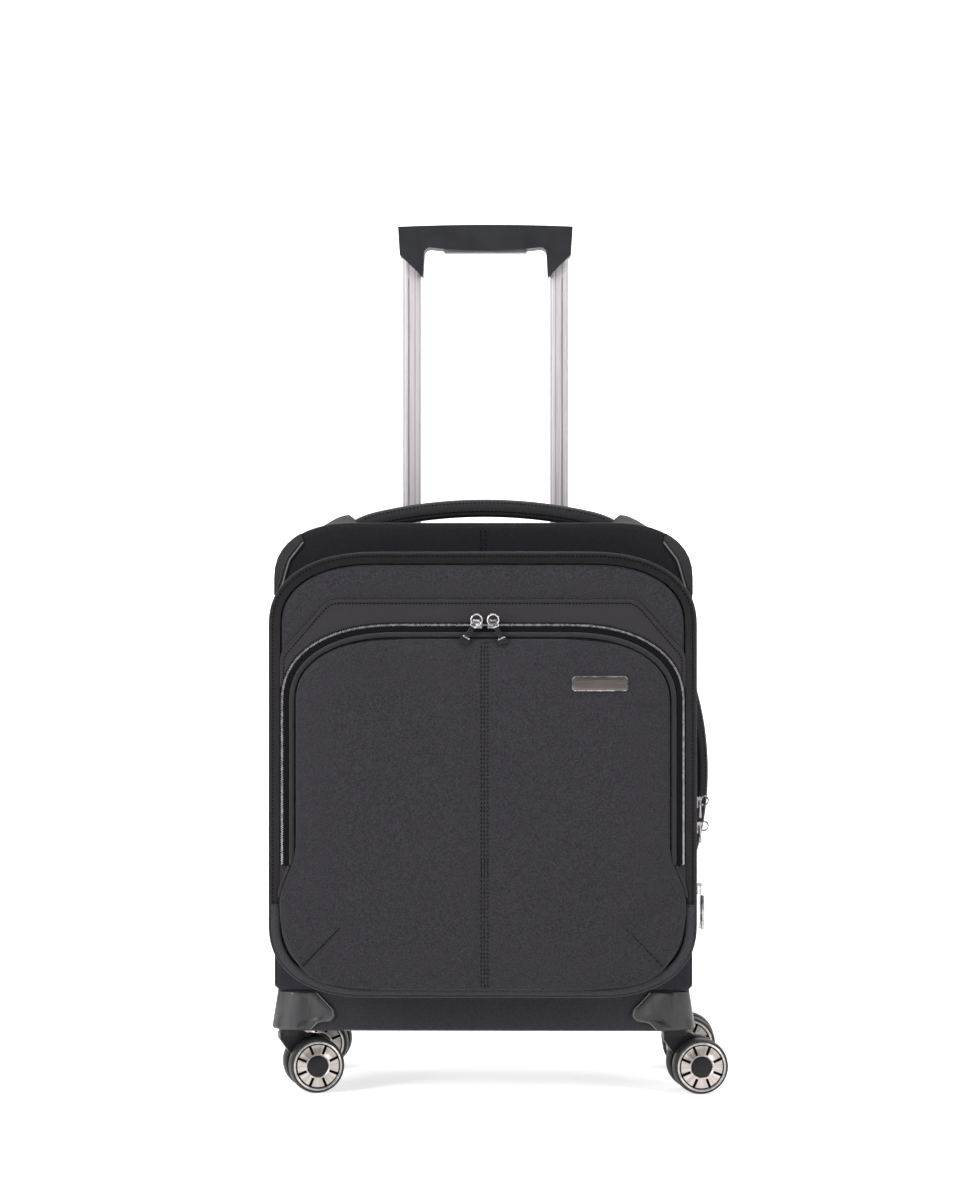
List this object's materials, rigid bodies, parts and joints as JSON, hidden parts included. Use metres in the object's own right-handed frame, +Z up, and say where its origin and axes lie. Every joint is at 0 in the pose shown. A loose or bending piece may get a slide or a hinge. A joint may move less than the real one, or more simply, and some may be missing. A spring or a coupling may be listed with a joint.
{
  "type": "flight crew cabin trolley",
  "caption": "Soft-sided upright cabin trolley for flight crew with a hinged front lid, zipped front pocket, telescopic handle, carry handles and swivelling casters.",
  "frame": {"origin": "on the floor, at the centre of the rectangle made by the four caster swivels", "axes": "+Z up, front of the case towards -Y, back panel facing +Y, +X to the right seen from the front"},
  "size_m": [0.4186, 0.2602, 0.8168],
  "materials": {
    "body_fabric": "fine melange twill over foam and board",
    "panel_fabric": "fine melange twill, padded",
    "band_tape": "smooth woven tape",
    "placket_fabric": "smooth close weave",
    "liner_fabric": "plain lining cloth",
    "gusset_fabric": "plain gusset cloth",
    "webbing": "padded and stitched webbing",
    "guard_plastic": "fine grained moulding",
    "black_plastic": "satin moulding",
    "button_plastic": "satin moulding",
    "tube_aluminium": "satin anodised extrusion",
    "stage_aluminium": "satin anodised extrusion",
    "steel": "bright turned steel",
    "zip_metal": "plated die casting",
    "pull_cord": "moulded pull with plated ends",
    "zip_tape": "woven zip tape with metal-look teeth",
    "badge_metal": "brushed tinted plate, bright rim",
    "wheel_plastic": "moulded core with a tinted metal disc",
    "wheel_tyre": "soft polyurethane tread"
  },
  "bodies": {
    "case": {"case_shell": "body_fabric", "back_panel": "body_fabric", "base_tray": "body_fabric", "caster_housings": "guard_plastic", "caster_stems": "steel", "trolley_bezel": "black_plastic", "outer_tubes": "stage_aluminium", "trolley_foot": "black_plastic"},
    "expander": {"expander_ring": "body_fabric", "expansion_gusset": "gusset_fabric", "main_zip": "zip_tape", "top_corner_guards": "guard_plastic"},
    "lid": {"lid_band": "band_tape", "lid_panel": "panel_fabric", "pocket_placket": "placket_fabric", "pocket_zip": "zip_tape", "pocket_liner": "liner_fabric", "pocket_base": "panel_fabric"},
    "flap": {"pocket_flap": "panel_fabric", "badge": "badge_metal"},
    "pocket_slider_left": {"pocket_slider_left": "zip_metal"},
    "pocket_pull_left": {"pocket_pull_left": "pull_cord"},
    "pocket_slider_right": {"pocket_slider_right": "zip_metal"},
    "pocket_pull_right": {"pocket_pull_right": "pull_cord"},
    "main_slider_upper": {"main_slider_upper": "zip_metal"},
    "main_pull_upper": {"main_pull_upper": "zip_metal"},
    "main_slider_lower": {"main_slider_lower": "zip_metal"},
    "main_pull_lower": {"main_pull_lower": "zip_metal"},
    "expansion_slider": {"expansion_slider": "zip_metal"},
    "expansion_pull": {"expansion_pull": "zip_metal"},
    "middle_stage": {"middle_tubes": "stage_aluminium"},
    "grip_stage": {"inner_tubes": "tube_aluminium", "grip": "black_plastic"},
    "release": {"grip_button": "button_plastic"},
    "top_handle": {"carry_handle": "webbing"},
    "side_grab": {"side_handle": "webbing"},
    "caster_fl": {"fork_fl": "black_plastic", "axle_fl": "steel"},
    "wheel_fl_front": {"hub_fl_front": "wheel_plastic", "tyre_fl_front": "wheel_tyre"},
    "wheel_fl_rear": {"hub_fl_rear": "wheel_plastic", "tyre_fl_rear": "wheel_tyre"},
    "caster_fr": {"fork_fr": "black_plastic", "axle_fr": "steel"},
    "wheel_fr_front": {"hub_fr_front": "wheel_plastic", "tyre_fr_front": "wheel_tyre"},
    "wheel_fr_rear": {"hub_fr_rear": "wheel_plastic", "tyre_fr_rear": "wheel_tyre"},
    "caster_rl": {"fork_rl": "black_plastic", "axle_rl": "steel"},
    "wheel_rl_front": {"hub_rl_front": "wheel_plastic", "tyre_rl_front": "wheel_tyre"},
    "wheel_rl_rear": {"hub_rl_rear": "wheel_plastic", "tyre_rl_rear": "wheel_tyre"},
    "caster_rr": {"fork_rr": "black_plastic", "axle_rr": "steel"},
    "wheel_rr_front": {"hub_rr_front": "wheel_plastic", "tyre_rr_front": "wheel_tyre"},
    "wheel_rr_rear": {"hub_rr_rear": "wheel_plastic", "tyre_rr_rear": "wheel_tyre"}
  },
  "joints": [
    {"name": "expansion_travel", "type": "slide", "parent": "case", "child": "expander", "axis": [0, -1, 0], "range_m": [0, 0.04]},
    {"name": "lid_hinge", "type": "hinge", "parent": "expander", "child": "lid", "pos_m": [-0.1938, -0.1007, 0.29565], "axis": [0, 0, -1], "range_deg": [0, 120]},
    {"name": "pocket_fold", "type": "hinge", "parent": "lid", "child": "flap", "pos_m": [0, -0.1505, 0.2123], "axis": [1, 0, 0], "range_deg": [0, 75]},
    {"name": "pocket_slider_left_run", "type": "slide", "parent": "flap", "child": "pocket_slider_left", "axis": [-1, 0, 0], "range_m": [0, 0.06]},
    {"name": "pocket_pull_left_swing", "type": "hinge", "parent": "pocket_slider_left", "child": "pocket_pull_left", "pos_m": [-0.0054, -0.1548, 0.4348], "axis": [-1, 0, 0], "range_deg": [0, 150]},
    {"name": "pocket_slider_right_run", "type": "slide", "parent": "flap", "child": "pocket_slider_right", "axis": [1, 0, 0], "range_m": [0, 0.055]},
    {"name": "pocket_pull_right_swing", "type": "hinge", "parent": "pocket_slider_right", "child": "pocket_pull_right", "pos_m": [0.0095, -0.1548, 0.4348], "axis": [-1, 0, 0], "range_deg": [0, 150]},
    {"name": "main_slider_upper_run", "type": "slide", "parent": "expander", "child": "main_slider_upper", "axis": [0, 0, 1], "range_m": [0, 0.14]},
    {"name": "main_pull_upper_swing", "type": "hinge", "parent": "main_slider_upper", "child": "main_pull_upper", "pos_m": [0.1989, -0.0997, 0.2714], "axis": [0, -1, 0], "range_deg": [0, 150]},
    {"name": "main_slider_lower_run", "type": "slide", "parent": "expander", "child": "main_slider_lower", "axis": [0, 0, 1], "range_m": [-0.07, 0]},
    {"name": "main_pull_lower_swing", "type": "hinge", "parent": "main_slider_lower", "child": "main_pull_lower", "pos_m": [0.1989, -0.0997, 0.2484], "axis": [0, -1, 0], "range_deg": [0, 150]},
    {"name": "expansion_slider_run", "type": "slide", "parent": "case", "child": "expansion_slider", "axis": [0, 0, 1], "range_m": [-0.05, 0.22]},
    {"name": "expansion_pull_swing", "type": "hinge", "parent": "expansion_slider", "child": "expansion_pull", "pos_m": [0.1994, -0.08775, 0.1914], "axis": [0, -1, 0], "range_deg": [0, 150]},
    {"name": "middle_stage_travel", "type": "slide", "parent": "case", "child": "middle_stage", "axis": [0, 0, 1], "range_m": [0, 0.22]},
    {"name": "grip_stage_travel", "type": "slide", "parent": "middle_stage", "child": "grip_stage", "axis": [0, 0, 1], "range_m": [-0.269, 0]},
    {"name": "release_press", "type": "slide", "parent": "grip_stage", "child": "release", "axis": [0, 0, 1], "range_m": [0, 0.004], "stiffness_N_per_m": 600, "springref_m": -0.001},
    {"name": "top_handle_lift", "type": "slide", "parent": "case", "child": "top_handle", "axis": [0, 0, 1], "range_m": [0, 0.012], "stiffness_N_per_m": 500},
    {"name": "side_handle_lift", "type": "slide", "parent": "case", "child": "side_grab", "axis": [1, 0, 0], "range_m": [0, 0.01], "stiffness_N_per_m": 500},
    {"name": "caster_fl_swivel", "type": "hinge", "parent": "case", "child": "caster_fl", "pos_m": [-0.177, -0.079, 0], "axis": [0, 0, 1], "continuous": true},
    {"name": "wheel_fl_front_spin", "type": "hinge", "parent": "caster_fl", "child": "wheel_fl_front", "pos_m": [-0.15759, -0.07416, 0.0255], "axis": [-0.2419, 0.9703, 0], "continuous": true},
    {"name": "wheel_fl_rear_spin", "type": "hinge", "parent": "caster_fl", "child": "wheel_fl_rear", "pos_m": [-0.15759, -0.07416, 0.0255], "axis": [-0.2419, 0.9703, 0], "continuous": true},
    {"name": "caster_fr_swivel", "type": "hinge", "parent": "case", "child": "caster_fr", "pos_m": [0.177, -0.079, 0], "axis": [0, 0, 1], "continuous": true},
    {"name": "wheel_fr_front_spin", "type": "hinge", "parent": "caster_fr", "child": "wheel_fr_front", "pos_m": [0.19681, -0.07622, 0.0255], "axis": [-0.1392, 0.9903, 0], "continuous": true},
    {"name": "wheel_fr_rear_spin", "type": "hinge", "parent": "caster_fr", "child": "wheel_fr_rear", "pos_m": [0.19681, -0.07622, 0.0255], "axis": [-0.1392, 0.9903, 0], "continuous": true},
    {"name": "caster_rl_swivel", "type": "hinge", "parent": "case", "child": "caster_rl", "pos_m": [-0.177, 0.079, 0], "axis": [0, 0, 1], "continuous": true},
    {"name": "wheel_rl_front_spin", "type": "hinge", "parent": "caster_rl", "child": "wheel_rl_front", "pos_m": [-0.15704, 0.07778, 0.0255], "axis": [0.061, 0.9981, 0], "continuous": true},
    {"name": "wheel_rl_rear_spin", "type": "hinge", "parent": "caster_rl", "child": "wheel_rl_rear", "pos_m": [-0.15704, 0.07778, 0.0255], "axis": [0.061, 0.9981, 0], "continuous": true},
    {"name": "caster_rr_swivel", "type": "hinge", "parent": "case", "child": "caster_rr", "pos_m": [0.177, 0.079, 0], "axis": [0, 0, 1], "continuous": true},
    {"name": "wheel_rr_front_spin", "type": "hinge", "parent": "caster_rr", "child": "wheel_rr_front", "pos_m": [0.197, 0.07865, 0.0255], "axis": [0.0175, 0.9998, 0], "continuous": true},
    {"name": "wheel_rr_rear_spin", "type": "hinge", "parent": "caster_rr", "child": "wheel_rr_rear", "pos_m": [0.197, 0.07865, 0.0255], "axis": [0.0175, 0.9998, 0], "continuous": true}
  ]
}
